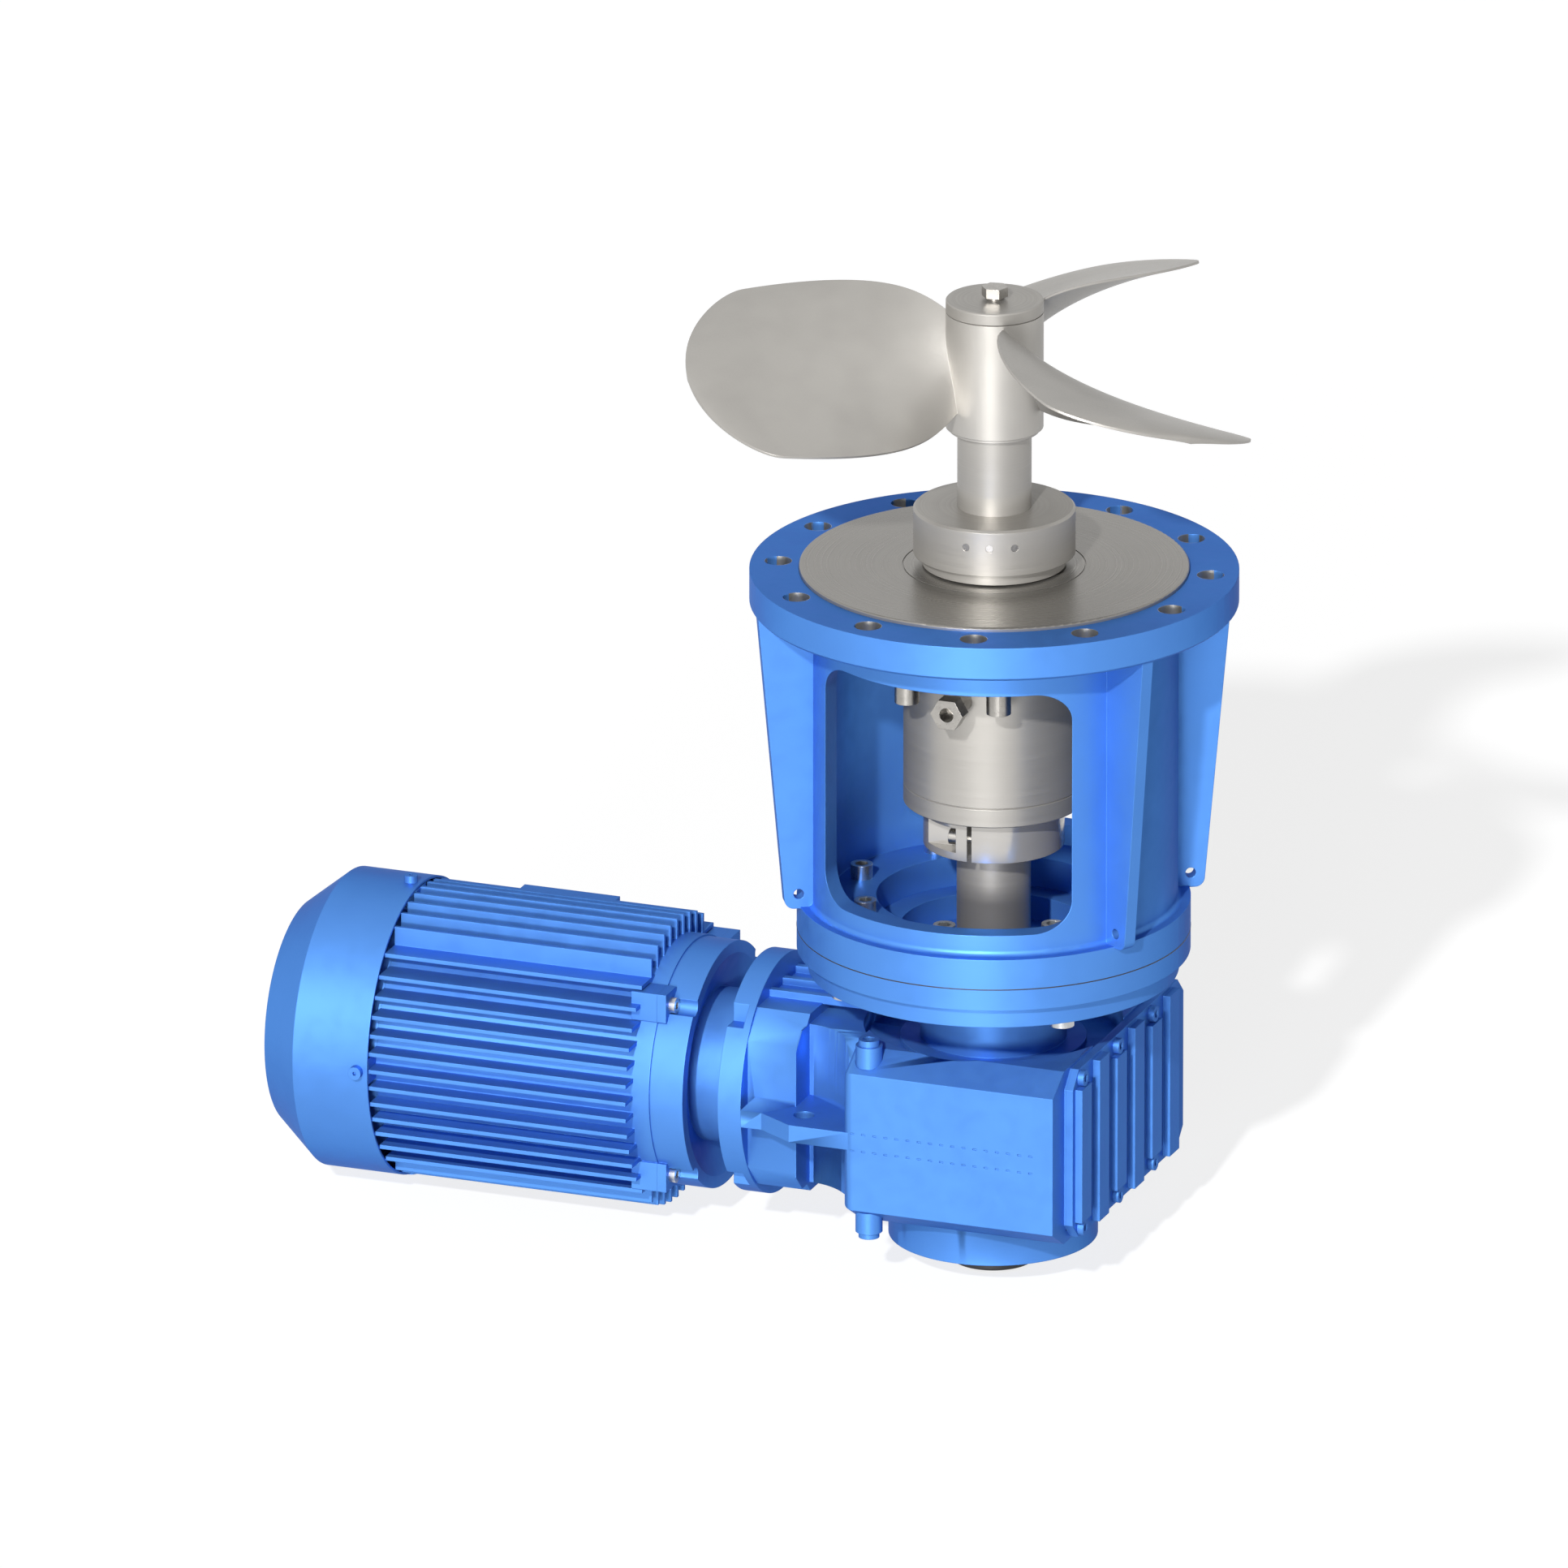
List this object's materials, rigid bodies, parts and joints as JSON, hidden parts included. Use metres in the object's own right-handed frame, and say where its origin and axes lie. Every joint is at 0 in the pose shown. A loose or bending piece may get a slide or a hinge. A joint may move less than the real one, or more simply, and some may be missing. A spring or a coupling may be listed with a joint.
{
  "type": "bottom-entry agitator",
  "caption": "Flange-mounted bottom-entry agitator: marine propeller, shaft seal in a windowed lantern, right-angle gearbox and finned motor.",
  "frame": {"origin": "centre of the mounting flange's top face, on the shaft axis", "axes": "+Z along the shaft into the vessel; the motor lies along -X"},
  "size_m": [0.8357, 0.4484, 0.8306],
  "materials": {
    "blue_paint": "gloss",
    "stainless": "satin",
    "machine_steel": "machined",
    "core_iron": "laminated",
    "winding_copper": "varnished copper wire",
    "seal_rubber": "matt",
    "black_plastic": "moulded",
    "seal_face": "lapped"
  },
  "bodies": {
    "frame": {"adapter_ring": "blue_paint", "bearing_cover": "machine_steel", "bearing_outer_rings": "machine_steel", "cable_entry_plug": "black_plastic", "cover_gasket": "seal_rubber", "cowl_screws": "machine_steel", "end_cap": "black_plastic", "fan_cowl": "blue_paint", "flush_port_nipple": "stainless", "gearbox_housing": "blue_paint", "gland_ring": "stainless", "input_flange": "blue_paint", "lantern": "blue_paint", "lantern_screws": "machine_steel", "lid_screws": "machine_steel", "motor_end_shield": "blue_paint", "motor_lug_screws": "machine_steel", "oil_plugs": "blue_paint", "output_flange": "blue_paint", "output_flange_screws": "machine_steel", "output_seals": "seal_rubber", "rear_cover": "blue_paint", "rear_cover_screws": "machine_steel", "rear_end_shield": "blue_paint", "seal_housing": "stainless", "seal_housing_screws": "stainless", "seal_plate": "stainless", "stationary_seal_faces": "seal_face", "stator_core": "core_iron", "stator_frame": "blue_paint", "stator_windings": "winding_copper", "terminal_box": "blue_paint", "terminal_box_lid": "blue_paint"},
    "agitator": {"propeller": "stainless", "hub_cap": "stainless", "hub_cap_screw": "stainless", "shaft_keys": "machine_steel", "agitator_shaft": "stainless", "shaft_collar": "stainless", "collar_grub_screws": "stainless", "seal_sleeve": "stainless", "rotating_seal_face": "seal_face", "spring_carrier": "stainless", "seal_springs": "stainless", "clamp_ring": "stainless", "clamp_screw": "stainless", "output_hollow_shaft": "machine_steel", "output_wheel": "machine_steel", "output_bearing_inner_rings": "machine_steel"},
    "countershaft": {"countershaft": "machine_steel", "bevel_wheel": "machine_steel", "counter_bearing_inner_rings": "machine_steel"},
    "bevel_pinion": {"bevel_pinion_shaft": "machine_steel", "helical_gear": "machine_steel", "pinion_bearing_inner_rings": "machine_steel"},
    "motor_rotor": {"rotor_shaft": "machine_steel", "rotor_core": "core_iron", "motor_pinion": "machine_steel", "cooling_fan": "black_plastic", "motor_bearing_inner_rings": "machine_steel"}
  },
  "joints": [
    {"name": "agitator_spin", "type": "hinge", "parent": "frame", "child": "agitator", "pos_m": [0, 0, 0], "axis": [0, 0, 1], "continuous": true},
    {"name": "countershaft_spin", "type": "hinge", "parent": "frame", "child": "countershaft", "pos_m": [-0.0938, 0.052, -0.4585], "axis": [0, 0, 1], "continuous": true},
    {"name": "bevel_pinion_spin", "type": "hinge", "parent": "frame", "child": "bevel_pinion", "pos_m": [-0.0938, 0.052, -0.4585], "axis": [1, 0, 0], "continuous": true},
    {"name": "motor_rotor_spin", "type": "hinge", "parent": "frame", "child": "motor_rotor", "pos_m": [-0.375, 0.01, -0.4585], "axis": [1, 0, 0], "continuous": true}
  ],
  "couplings": [
    {"joint": "countershaft_spin", "follows": "agitator_spin", "ratio": -2.4737},
    {"joint": "bevel_pinion_spin", "follows": "agitator_spin", "ratio": -5.1377},
    {"joint": "motor_rotor_spin", "follows": "agitator_spin", "ratio": 10.275}
  ]
}
